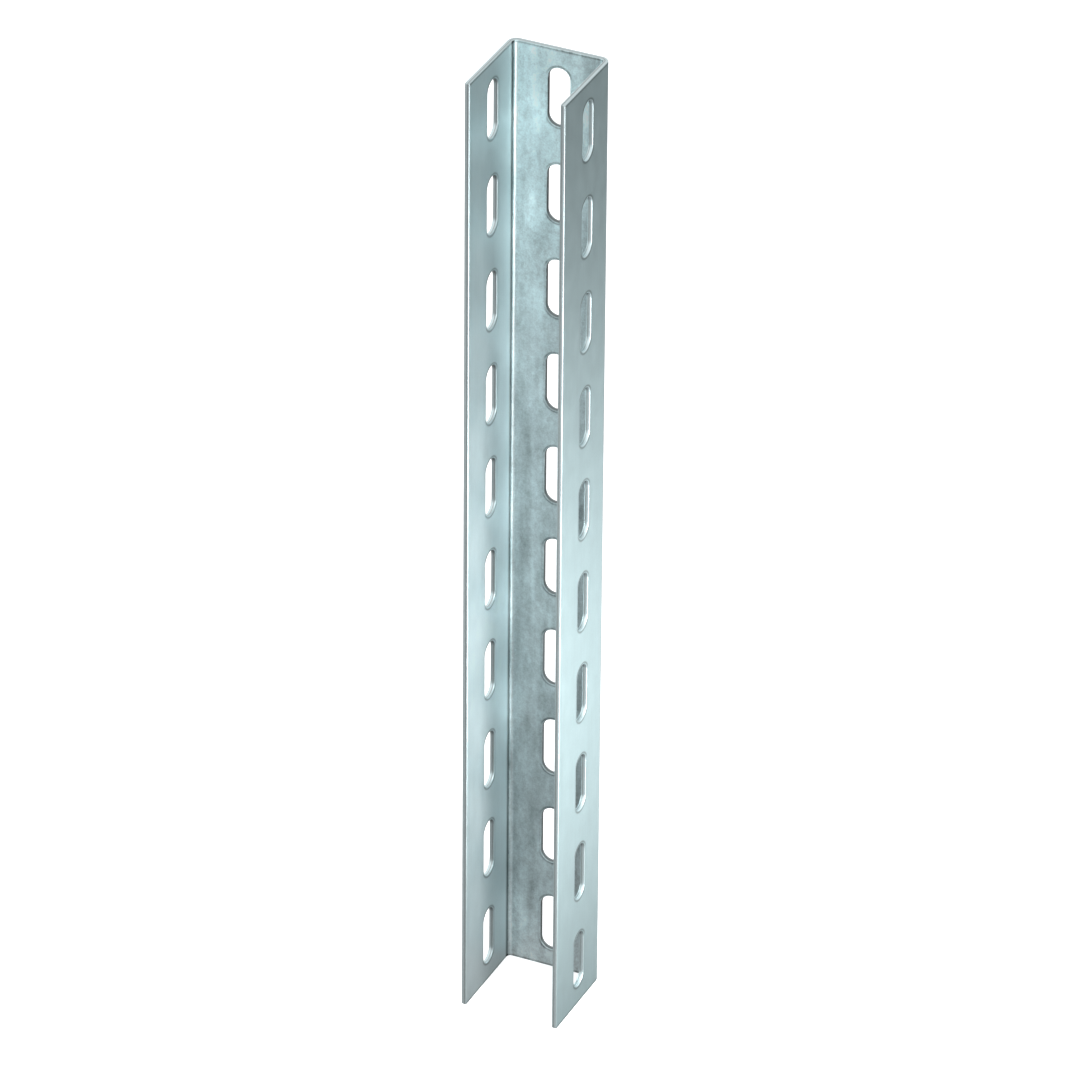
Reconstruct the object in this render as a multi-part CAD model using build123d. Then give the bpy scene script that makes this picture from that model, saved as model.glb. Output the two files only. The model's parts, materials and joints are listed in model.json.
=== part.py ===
"""Slotted strut channel: a plain U of cold-formed, hot-dip galvanised sheet steel.

One strip is punched with three rows of slots, bent twice along its length and
cut off. It stands on a cut end with +Z along its length, the back of the web
facing +Y and the open side facing -Y. The origin is the centre of the bounding
box at the lower end.
"""

import os

from build123d import *

# Section, in millimetres
CHANNEL_LENGTH = 500
WEB_WIDTH = 50  # over the outsides of the two flanges
FLANGE_DEPTH = 50  # back of the web to the free edges
SHEET_THICKNESS = 2.5
INNER_BEND_RADIUS = 2

# Slots, the same in all three walls and at the same heights
SLOT_WIDTH = 11
SLOT_LENGTH = 30
SLOT_PITCH = 50
FIRST_SLOT_HEIGHT = 25  # lower end to the centre of the lowest slot
FLANGE_SLOT_GAUGE = 25  # back of the web to the centre line of a flange's slots

# The rolled free edges are rounded, and the punched rims and sawn ends are broken
EDGE_ROUND = 0.5
EDGE_BREAK = 0.4

NODE = "strut_channel"

BACK = FLANGE_DEPTH / 2  # where the back of the web lies along Y
SIDE = WEB_WIDTH / 2  # where the outside of a flange lies along X
SLOT_COUNT = 1 + int((CHANNEL_LENGTH - 2 * FIRST_SLOT_HEIGHT) / SLOT_PITCH)


def section():
    """The U in plan: its outer skin, bent at two corners and thickened inwards, with rounded free edges."""
    front = BACK - FLANGE_DEPTH
    skin = FilletPolyline(
        (-SIDE, front),
        (-SIDE, BACK),
        (SIDE, BACK),
        (SIDE, front),
        radius=INNER_BEND_RADIUS + SHEET_THICKNESS,
    )
    sheet = make_face(offset(skin, amount=SHEET_THICKNESS, side=Side.RIGHT))
    return fillet(sheet.vertices().group_by(Axis.Y)[0], EDGE_ROUND)


def wall_planes():
    """A plane on the outside of each wall, its X along the channel, its Z into the sheet."""
    gauge = BACK - FLANGE_SLOT_GAUGE
    return [
        Plane(origin=(0, BACK, 0), x_dir=(0, 0, 1), z_dir=(0, -1, 0)),
        Plane(origin=(-SIDE, gauge, 0), x_dir=(0, 0, 1), z_dir=(1, 0, 0)),
        Plane(origin=(SIDE, gauge, 0), x_dir=(0, 0, 1), z_dir=(-1, 0, 0)),
    ]


def slot_punches(wall):
    """The row of slots in one wall, as the solids that a punch takes out."""
    heights = [FIRST_SLOT_HEIGHT + number * SLOT_PITCH for number in range(SLOT_COUNT)]
    row = Sketch() + [wall * Pos(height, 0) * SlotOverall(SLOT_LENGTH, SLOT_WIDTH) for height in heights]
    return extrude(row, amount=SHEET_THICKNESS, dir=wall.z_dir)


def strut_channel():
    """The slotted channel, with the sawn ends and the punched rims broken."""
    channel = extrude(section(), amount=CHANNEL_LENGTH)
    for wall in wall_planes():
        channel -= slot_punches(wall)

    sawn_ends = channel.faces().filter_by(Axis.Z).edges()
    rims = [wire.edges() for wall_face in channel.faces() for wire in wall_face.inner_wires()]
    return chamfer([sawn_ends] + rims, EDGE_BREAK)


channel = strut_channel()
channel.label = NODE
os.makedirs("parts", exist_ok=True)
export_step(channel, f"parts/{NODE}.step")
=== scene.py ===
"""Looks of the slotted strut channel: its folded and galvanised sheet, the studio and the camera."""

import json
import math

import bmesh
import bpy
from mathutils import Matrix, Vector


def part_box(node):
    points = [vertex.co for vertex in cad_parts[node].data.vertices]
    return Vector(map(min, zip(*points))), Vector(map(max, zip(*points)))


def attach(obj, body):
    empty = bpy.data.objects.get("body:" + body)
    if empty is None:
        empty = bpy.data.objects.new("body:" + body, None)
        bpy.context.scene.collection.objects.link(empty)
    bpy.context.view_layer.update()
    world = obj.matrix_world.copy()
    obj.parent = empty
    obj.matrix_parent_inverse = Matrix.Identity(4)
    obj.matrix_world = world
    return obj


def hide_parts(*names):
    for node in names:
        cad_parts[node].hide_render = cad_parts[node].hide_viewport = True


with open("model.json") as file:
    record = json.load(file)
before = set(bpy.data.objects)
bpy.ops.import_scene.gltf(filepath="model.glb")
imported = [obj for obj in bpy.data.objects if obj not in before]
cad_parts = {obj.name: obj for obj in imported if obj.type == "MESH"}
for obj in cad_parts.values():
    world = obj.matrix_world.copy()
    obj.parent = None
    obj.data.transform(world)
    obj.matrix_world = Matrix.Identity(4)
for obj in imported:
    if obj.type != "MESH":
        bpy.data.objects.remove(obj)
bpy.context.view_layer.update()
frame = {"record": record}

# The channel's own sizes, in metres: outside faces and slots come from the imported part
MOUNTS = {mount["name"]: mount for mount in frame["record"]["mounts"]}
LOW, HIGH = (Vector(corner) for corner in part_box("strut_channel"))
LENGTH = HIGH.z - LOW.z
SHEET = 0.0025
OUTER_BEND = 0.0045
EDGE_ROUND = 0.0005
SAME_POINT = 1e-6  # corners nearer than this are one

WEB_SLOTS = MOUNTS["web_slots_lower"]
SLOT_HALF_WIDTH = WEB_SLOTS["dims"]["hole_r_mm"] / 1000
SLOT_HALF_LENGTH = WEB_SLOTS["dims"]["slot_length_mm"] / 2000
SLOT_PITCH = WEB_SLOTS["dims"]["spacing_y_mm"] / 1000
FIRST_SLOT = WEB_SLOTS["pos_m"][2] - SLOT_PITCH / 2
FLANGE_GAUGE = MOUNTS["left_flange_slots_lower"]["pos_m"][1]
SLOT_HEIGHTS = [FIRST_SLOT + SLOT_PITCH * number for number in range(round(LENGTH / SLOT_PITCH))]

# How finely the round parts are divided, and how sharp an edge has to be to get rounded
QUARTER_STEPS = 12  # in each quarter of a slot's round end, an even number
BEND_STEPS = 10
ROUND_STEPS = 3
SHARP_EDGE = math.radians(50)


# ---------------------------------------------------------------- the folded sheet


def quarter_turn(side, end, reach):
    """Matched points from a slot's rim and from the border of its cell, over one quarter of them.

    Both are (across, along) from the slot's centre. side and end are the signs of the quarter, and
    reach is how far the cell goes across on that side.
    """
    straight = SLOT_HALF_LENGTH - SLOT_HALF_WIDTH
    half = QUARTER_STEPS // 2
    rim, border = [], []
    for step in range(QUARTER_STEPS + 1):
        turn = math.radians(90 * step / QUARTER_STEPS)
        rim.append(
            (side * SLOT_HALF_WIDTH * math.cos(turn), end * (straight + SLOT_HALF_WIDTH * math.sin(turn)))
        )
        up = min(step / half, 1)
        back = max(step / half - 1, 0)
        border.append((side * reach * (1 - back), end * (straight + (SLOT_PITCH / 2 - straight) * up)))
    return rim, border


def border_heights():
    """The heights at which the cells' borders have points, from the lower end to the upper."""
    _, border = quarter_turn(1, 1, 1)
    upper = [along for _, along in border[: QUARTER_STEPS // 2 + 1]]
    lower = [-along for along in reversed(upper)]
    return [slot + along for slot in SLOT_HEIGHTS for along in lower + upper]


def add_faces(mesh, corners_of_faces):
    """Adds faces given by their corners. Corners that meet are joined later."""
    for corners in corners_of_faces:
        mesh.faces.new([mesh.verts.new(corner) for corner in corners])


def slotted_wall(mesh, place, reaches):
    """One flat wall: a cell round each slot. place turns (across, height) into a point."""
    for slot in SLOT_HEIGHTS:
        for side in (-1, 1):
            reach = reaches[side]
            for end in (-1, 1):
                rim, border = quarter_turn(side, end, reach)
                rim = [place(across, slot + along) for across, along in rim]
                border = [place(across, slot + along) for across, along in border]
                add_faces(mesh, zip(rim[:-1], rim[1:], border[1:], border[:-1]))
            straight = SLOT_HALF_LENGTH - SLOT_HALF_WIDTH
            add_faces(
                mesh,
                [
                    [
                        place(side * SLOT_HALF_WIDTH, slot - straight),
                        place(side * SLOT_HALF_WIDTH, slot + straight),
                        place(side * reach, slot + straight),
                        place(side * reach, slot - straight),
                    ]
                ],
            )


def bend(mesh, side):
    """The rounded corner between the web and the flange on one side."""
    centre = Vector((side * (HIGH.x - OUTER_BEND), HIGH.y - OUTER_BEND, 0))
    heights = border_heights()
    turns = [math.radians(90 * step / BEND_STEPS) for step in range(BEND_STEPS + 1)]
    arms = [Vector((side * math.cos(turn), math.sin(turn), 0)) * OUTER_BEND for turn in turns]
    lines = [[centre + arm + Vector((0, 0, height)) for height in heights] for arm in arms]
    for line, following in zip(lines, lines[1:]):
        add_faces(mesh, zip(line[:-1], line[1:], following[1:], following[:-1]))


def folded_sheet():
    """The channel: its outer skin with the slots left open, thickened inwards, with every edge rounded."""
    mesh = bmesh.new()
    flat = HIGH.x - OUTER_BEND
    slotted_wall(mesh, lambda across, height: Vector((across, HIGH.y, height)), {-1: flat, 1: flat})
    flange_reaches = {-1: FLANGE_GAUGE - LOW.y, 1: HIGH.y - OUTER_BEND - FLANGE_GAUGE}
    for side in (-1, 1):
        slotted_wall(
            mesh,
            lambda across, height: Vector((side * HIGH.x, FLANGE_GAUGE + across, height)),
            flange_reaches,
        )
        bend(mesh, side)
    bmesh.ops.remove_doubles(mesh, verts=mesh.verts, dist=SAME_POINT)
    bmesh.ops.recalc_face_normals(mesh, faces=mesh.faces)
    web_face = max(mesh.faces, key=lambda face: face.calc_center_median().y)
    if web_face.normal.y < 0:
        bmesh.ops.reverse_faces(mesh, faces=mesh.faces)
    for face in mesh.faces:
        face.smooth = True

    data = bpy.data.meshes.new("folded_sheet")
    mesh.to_mesh(data)
    mesh.free()
    channel = bpy.data.objects.new("folded_sheet", data)
    bpy.context.collection.objects.link(channel)

    thicken = channel.modifiers.new("sheet thickness", "SOLIDIFY")
    thicken.thickness = SHEET
    thicken.offset = -1
    thicken.use_even_offset = True
    rounding = channel.modifiers.new("rounded edges", "BEVEL")
    rounding.width = EDGE_ROUND
    rounding.segments = ROUND_STEPS
    rounding.limit_method = "ANGLE"
    rounding.angle_limit = SHARP_EDGE
    rounding.use_clamp_overlap = False
    channel.modifiers.new("flat walls", "WEIGHTED_NORMAL")
    return channel


channel = folded_sheet()
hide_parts("strut_channel")
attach(channel, "root")

# ---------------------------------------------------------------- how a finish is written


class Value:
    """A number that changes over the surface. Sums, products and powers of values add their Math nodes."""

    def __init__(self, finish, socket):
        self.finish = finish
        self.socket = socket

    def __getitem__(self, output):
        """Another output of the same node."""
        return Value(self.finish, self.socket.node.outputs[output])

    def worked(self, operation, *terms):
        return self.finish.node("ShaderNodeMath", {"operation": operation}, dict(enumerate(terms)))

    def __add__(self, other):
        return self.worked("ADD", self, other)

    def __sub__(self, other):
        return self.worked("SUBTRACT", self, other)

    def __rsub__(self, other):
        return self.worked("SUBTRACT", other, self)

    def __mul__(self, other):
        return self.worked("MULTIPLY", self, other)

    def __truediv__(self, other):
        return self.worked("DIVIDE", self, other)

    def __pow__(self, other):
        return self.worked("POWER", self, other)

    def __rpow__(self, other):
        return self.worked("POWER", other, self)

    def __abs__(self):
        return self.worked("ABSOLUTE", self)

    __radd__ = __add__
    __rmul__ = __mul__

    def at_least(self, other):
        return self.worked("MAXIMUM", self, other)

    def at_most(self, other):
        return self.worked("MINIMUM", self, other)

    def rise(self, start, end):
        """0 up to start and 1 from end on, with a smooth rise between them."""
        settings = {"interpolation_type": "SMOOTHSTEP"}
        return self.finish.node("ShaderNodeMapRange", settings, {0: self, 1: start, 2: end})

    def swell(self, centre, reach):
        """1 at the centre, falling away smoothly on both sides over about the reach."""
        offset = (self - centre) / reach
        return math.e ** (0 - offset * offset)


class Finish:
    """A material and the nodes that make it."""

    def __init__(self, name):
        self.material = bpy.data.materials.new(name)
        self.material.use_nodes = True
        self.nodes = self.material.node_tree.nodes
        self.links = self.material.node_tree.links
        self.surface = self.nodes["Principled BSDF"]

    def fill(self, node, inputs):
        """Sets or links a node's sockets. A colour is three numbers."""
        for name, value in inputs.items():
            socket = node.inputs[name]
            if isinstance(value, Value):
                self.links.new(value.socket, socket)
            elif socket.type == "RGBA":
                socket.default_value = (*value, 1)
            else:
                socket.default_value = value

    def node(self, kind, settings=None, inputs=None, output=0):
        """Adds a node of any kind: its settings first, then the values or links of its sockets."""
        node = self.nodes.new(kind)
        for name, value in (settings or {}).items():
            setattr(node, name, value)
        self.fill(node, inputs or {})
        return Value(self, node.outputs[output])

    def noise(self, place, per_mm, detail, roughness=0.5):
        """Soft noise from -1 to 1 or so, with per_mm blotches in each millimetre of the place given."""
        inputs = {"Vector": place, "Scale": per_mm, "Detail": detail, "Roughness": roughness}
        return self.node("ShaderNodeTexNoise", None, inputs) * 4 - 2

    def drawn_out(self, place, factors):
        """The place with its three directions scaled, each factor below 1 drawing a pattern out."""
        return self.node("ShaderNodeVectorMath", {"operation": "MULTIPLY"}, {0: place, 1: factors})

    def mixed(self, share, first, second):
        """A colour between two colours."""
        return self.node("ShaderNodeMix", {"data_type": "RGBA"}, {0: share, 6: first, 7: second}, 2)

    def toned(self, colour, strength):
        """A colour made lighter or darker."""
        return self.node("ShaderNodeVectorMath", {"operation": "SCALE"}, {0: colour, 3: strength})


# ---------------------------------------------------------------- galvanised steel

# The finish is written in millimetres
MM = 1000
FULL = LENGTH * MM
HALF_WIDTH = HIGH.x * MM
BACK = HIGH.y * MM
BEND = OUTER_BEND * MM
THICK = SHEET * MM
STRAIGHT = (SLOT_HALF_LENGTH - SLOT_HALF_WIDTH) * MM

# Colours: the zinc is bluish on the right flange and greyer on the web and the left flange
BLUISH_ZINC = (0.600, 0.775, 0.800)
GREYER_ZINC = (0.665, 0.770, 0.790)
CUT_STEEL = (0.680, 0.790, 0.810)

METALLIC = 0.85
WALL_ROUGHNESS = 0.42
CUT_TONE = 0.84
DENT_DEPTH = 0.00004
DENT_STRENGTH = 0.35

# Where the coat gives way to a cut face, in millimetres below either skin
COAT_ENDS = 0.05
CUT_BEGINS = 0.25

# How the patterns of the coat are drawn out across, in depth and along the length
FLANGE_BLOTCHES = (1, 1, 0.55)
ROLLING_LINES = (1, 1, 0.02)
WEB_FLECKS = (1, 0.3, 0.8)
WEB_COLUMNS = (1, 0.3, 0.09)
WEB_CLOUDS = (1, 0.3, 0.45)

# From this height up, the web is painted paler as painted light, and the web and the left flange get more
# bluish
UPPER_STRETCH = 0.60 * FULL


def below_skin(across, depth):
    """How far below the folded sheet's outer skin a point lies, round its bends too."""
    over = abs(across) - (HALF_WIDTH - BEND)
    behind = depth - (BACK - BEND)
    round_part = (over.at_least(0) ** 2 + behind.at_least(0) ** 2) ** 0.5
    return BEND - round_part - over.at_least(behind).at_most(0)


def painted_light_along_length(height, left, web):
    """Painted light and shade along the length: palest below the middle, and on the web palest at the ends.
    """
    right_painted_light = 0.60 + 0.46 * height.swell(centre=0.36 * FULL, reach=0.40 * FULL)
    left_painted_light = 0.70 + 0.57 * height.swell(centre=0.38 * FULL, reach=0.36 * FULL)
    upper_web_painted_light = 0.46 * height.rise(start=UPPER_STRETCH, end=FULL)
    lower_web_painted_light = 0.38 * height.swell(centre=0, reach=0.10 * FULL)
    flanges_painted_light = right_painted_light * (1 - left) + left_painted_light * left
    return flanges_painted_light * (1 - web) + (0.71 + upper_web_painted_light + lower_web_painted_light) * web


def painted_bend_lines(inward, along_bend):
    """Inside each bend, a dark line of painted shade on the flange's side and a painted highlight on the
    web's.
    """
    inside = inward.rise(start=0.90 * THICK, end=0.98 * THICK)
    painted_highlight = 0.28 * along_bend.swell(centre=1.4, reach=0.7)
    painted_shade = 0.85 * along_bend.swell(centre=-1.8, reach=1.2)
    return inside * (painted_highlight - painted_shade)


def painted_rim_shade(off_rim, beyond, off_end):
    """A dark ring of painted shade round each slot's rim, and a painted dark line at each sawn end."""
    rim_shade_depth = 0.12 + 0.38 * beyond.rise(start=0.5, end=4)
    return off_rim.swell(centre=0.9, reach=0.5) * rim_shade_depth + 0.45 * off_end.swell(centre=0.8, reach=0.5)


def tear(inward):
    """The cut faces' dark line where the cut tore, and the duller sheet past it."""
    line = 0.35 * inward.swell(centre=0.62 * THICK, reach=0.10 * THICK)
    return line + 0.08 * inward.rise(start=0.60 * THICK, end=0.70 * THICK)


def painted_slot_wall_shade(along_slot, off_rim, web):
    """Painted shade and light on the slots' walls: darker in the web; in the flanges the upper end, facing
    down, is painted darker and the lower one, facing up, painted brighter.
    """
    round_end = 3
    upper_end = along_slot.rise(start=STRAIGHT, end=STRAIGHT + round_end)
    lower_end = (0 - along_slot).rise(start=STRAIGHT, end=STRAIGHT + round_end)
    in_slot = 1 - off_rim.rise(start=0.6, end=1.2)
    return in_slot * ((0.28 * lower_end - 0.50 * upper_end) * (1 - web) - 0.60 * web)


def galvanised_steel():
    """Zinc-coated sheet: smooth flanges, a cloudy web, and cuts that show the line where they tore, all with
    painted light and shade.
    """
    finish = Finish("galvanised steel")
    place = finish.node("ShaderNodeTexCoord")["Object"]
    place = finish.drawn_out(place, (MM, MM, MM))
    axes = finish.node("ShaderNodeSeparateXYZ", None, {0: place})
    across, depth, height = axes["X"], axes["Y"], axes["Z"]

    # Where on the sheet: the web, the left flange, and the skin as against the cut faces
    inward = below_skin(across, depth)
    web = depth.rise(start=BACK - BEND, end=BACK - THICK)
    left = across.rise(start=-HALF_WIDTH + BEND, end=-HALF_WIDTH + THICK)
    off_middle = abs(inward - THICK / 2)
    skin = off_middle.rise(start=THICK / 2 - CUT_BEGINS, end=THICK / 2 - COAT_ENDS)

    # Where by the nearest slot and the nearest sawn end
    from_middle = across * web + (depth - FLANGE_GAUGE * MM) * (1 - web)
    along_slot = height.worked("FLOORED_MODULO", height, SLOT_PITCH * MM) - FIRST_SLOT * MM
    beyond = (abs(along_slot) - STRAIGHT).at_least(0)
    off_rim = (from_middle**2 + beyond**2) ** 0.5 - SLOT_HALF_WIDTH * MM
    off_end = FULL / 2 - abs(height - FULL / 2)

    # Grain, blotches and faint rolling lines, and on the web clouds drawn out in columns
    grain = finish.noise(place, per_mm=1.3, detail=2)
    blotches = finish.noise(finish.drawn_out(place, FLANGE_BLOTCHES), per_mm=0.16, detail=3)
    lines = finish.noise(finish.drawn_out(place, ROLLING_LINES), per_mm=1.1, detail=2)
    flecks = finish.noise(finish.drawn_out(place, WEB_FLECKS), per_mm=0.50, detail=4, roughness=0.60)
    columns = finish.noise(finish.drawn_out(place, WEB_COLUMNS), per_mm=0.20, detail=3)
    clouds = finish.noise(finish.drawn_out(place, WEB_CLOUDS), per_mm=0.13, detail=4, roughness=0.62)
    flange_mottle = 0.020 * grain + 0.032 * blotches + 0.016 * lines
    web_mottle = 0.11 * grain + 0.16 * flecks + 0.18 * columns + 0.22 * clouds
    mottle = flange_mottle * (1 - web) + web_mottle * web

    # The coated skin, and the cut faces of the slots, the free edges and the ends
    # Painted shade and highlights: lines in the bends, dark rings round the slots and at the ends
    painted_lines = painted_bend_lines(inward, depth - abs(across)) - painted_rim_shade(off_rim, beyond, off_end)
    greyness = left.at_least(web) * (1 - 0.5 * height.rise(start=UPPER_STRETCH, end=FULL)) + 0.12 * blotches
    zinc = finish.mixed(greyness.at_least(0).at_most(1), BLUISH_ZINC, GREYER_ZINC)
    # The coat is toned with painted light and shade along the length
    coat = finish.toned(zinc, painted_light_along_length(height, left, web) * (1 + mottle + painted_lines))
    # The cut faces carry painted shade and light on the slot walls
    cut_tone_and_painted_light = (CUT_TONE - tear(inward) + 0.04 * grain) * (1 + painted_slot_wall_shade(along_slot, off_rim, web))

    uneven = 0.03 * blotches * (1 - web) + 0.05 * clouds * web
    broad_dents = blotches * (1 - web) + clouds * web
    bump = {"Strength": DENT_STRENGTH, "Distance": DENT_DEPTH, "Height": 0.10 * grain + 0.5 * broad_dents}
    finish.fill(
        finish.surface,
        {
            "Base Color": finish.mixed(skin, finish.toned(CUT_STEEL, cut_tone_and_painted_light), coat),
            "Metallic": METALLIC,
            "Roughness": WALL_ROUGHNESS + uneven + 0.03 * (1 - skin),
            "Normal": finish.node("ShaderNodeBump", None, bump),
        },
    )
    return finish.material


channel.data.materials.append(galvanised_steel())

# ---------------------------------------------------------------- studio

FLOOR_REACH = 6
CARD_REACH = 2.5
CARD_BELOW = 0.0005
PAPER_GLOW = 0.6


def around(azimuth, distance, height):
    """A point at a distance from the channel's middle line. Azimuth 0 is to its right, 90 behind it."""
    turn = math.radians(azimuth)
    return (distance * math.cos(turn), distance * math.sin(turn), height)


def seen_directly(finish):
    """1 for what the camera sees, and for what it sees mirrored in metal or through glass."""
    path = finish.node("ShaderNodeLightPath")
    return (path["Is Camera Ray"] + path["Is Glossy Ray"] + path["Is Transmission Ray"]).at_most(1)


def sheet_on_floor(name, corners, material):
    """A flat stage piece."""
    mesh = bpy.data.meshes.new(name)
    mesh.from_pydata(corners, [], [tuple(range(len(corners)))])
    mesh.materials.append(material)
    piece = bpy.data.objects.new(name, mesh)
    bpy.context.collection.objects.link(piece)
    return piece


def white_paper():
    """The floor: it keeps the channel's shadow, and glows a little where it is seen."""
    finish = Finish("white paper")
    finish.fill(
        finish.surface,
        {
            "Base Color": (0.85, 0.85, 0.85),
            "Roughness": 1,
            "Specular IOR Level": 0,
            "Emission Color": finish.mixed(seen_directly(finish), (0, 0, 0), (1, 1, 1)),
            "Emission Strength": PAPER_GLOW,
        },
    )
    return finish.material


def graded_card():
    """The card that the metal mirrors: dark, with a soft pool of light behind the channel on its right."""
    finish = Finish("graded card")
    place = finish.node("ShaderNodeTexCoord")["Object"]
    pool = around(azimuth=65, distance=0.33, height=0)
    off_pool = finish.node("ShaderNodeVectorMath", {"operation": "DISTANCE"}, {0: place, 1: pool}, 1)
    glow = 0.20 + 0.54 * off_pool.swell(centre=0, reach=0.25)
    finish.fill(
        finish.surface,
        {
            "Base Color": (0, 0, 0),
            "Specular IOR Level": 0,
            "Emission Color": finish.toned((1, 1, 1), glow),
            "Emission Strength": 1,
        },
    )
    return finish.material


def square(reach, height):
    """The corners of a level square about the channel's middle line."""
    signs = ((-1, -1), (1, -1), (1, 1), (-1, 1))
    return [(across * reach, along * reach, height) for across, along in signs]


floor = sheet_on_floor("floor", square(FLOOR_REACH, 0), white_paper())
card = sheet_on_floor("card", square(CARD_REACH, -CARD_BELOW), graded_card())
floor.visible_glossy = False
card.visible_camera = card.visible_diffuse = card.visible_shadow = False

world = bpy.data.worlds.new("studio")
bpy.context.scene.world = world
world.use_nodes = True
world.node_tree.nodes["Background"].inputs["Color"].default_value = (1, 1, 1, 1)


def lamp(name, place, aim, width, height, brightness):
    """A soft lamp that the camera doesn't see. brightness is its face's, where 1 is white."""
    light = bpy.data.lights.new(name, "AREA")
    light.shape = "RECTANGLE"
    light.size, light.size_y = width, height
    light.energy = math.pi * width * height * brightness
    piece = bpy.data.objects.new(name, light)
    piece.location = place
    piece.rotation_euler = (Vector(aim) - Vector(place)).to_track_quat("-Z", "Y").to_euler()
    piece.visible_camera = False
    bpy.context.collection.objects.link(piece)
    return piece


# Two strips close by at the front right: they light the left flange's inside and the right flange's
# outside, while the right flange shades the web
STRIP_DISTANCE = 0.24
STRIP_WIDTH = 0.06
LOW_STRIP = 0.17  # the height of its middle
HIGH_STRIP = 0.31

lamp("low strip", around(-28, STRIP_DISTANCE, LOW_STRIP), (0, 0, LOW_STRIP), STRIP_WIDTH, 0.35, 18.0)
lamp("high strip", around(-48, STRIP_DISTANCE, HIGH_STRIP), (0, 0, HIGH_STRIP), STRIP_WIDTH, 0.22, 11.0)

# ---------------------------------------------------------------- camera

CAMERA_AZIMUTH = math.radians(24.735)
CAMERA_ELEVATION = math.radians(31.240)
CAMERA_ROLL = math.radians(0.457)
CAMERA_DISTANCE = 4.3216
AIM = Vector((-0.00057, 0, 0.25552))
FOCAL_LENGTH = 313.71
SENSOR_WIDTH = 36
FARTHEST_SEEN = 100

back = Vector(
    (
        math.sin(CAMERA_AZIMUTH) * math.cos(CAMERA_ELEVATION),
        -math.cos(CAMERA_AZIMUTH) * math.cos(CAMERA_ELEVATION),
        math.sin(CAMERA_ELEVATION),
    )
)
level = Vector((math.cos(CAMERA_AZIMUTH), math.sin(CAMERA_AZIMUTH), 0))
turned = Matrix.Rotation(CAMERA_ROLL, 3, back)
right = turned @ level
up = turned @ back.cross(level)
lens = bpy.data.cameras.new("camera")
lens.lens = FOCAL_LENGTH
lens.sensor_width = SENSOR_WIDTH
lens.clip_end = FARTHEST_SEEN
camera = bpy.data.objects.new("camera", lens)
turned_to = Matrix((right, up, back)).transposed().to_4x4()
camera.matrix_world = Matrix.Translation(AIM + CAMERA_DISTANCE * back) @ turned_to
bpy.context.collection.objects.link(camera)
bpy.context.scene.camera = camera
bpy.context.scene.view_settings.view_transform = "Standard"
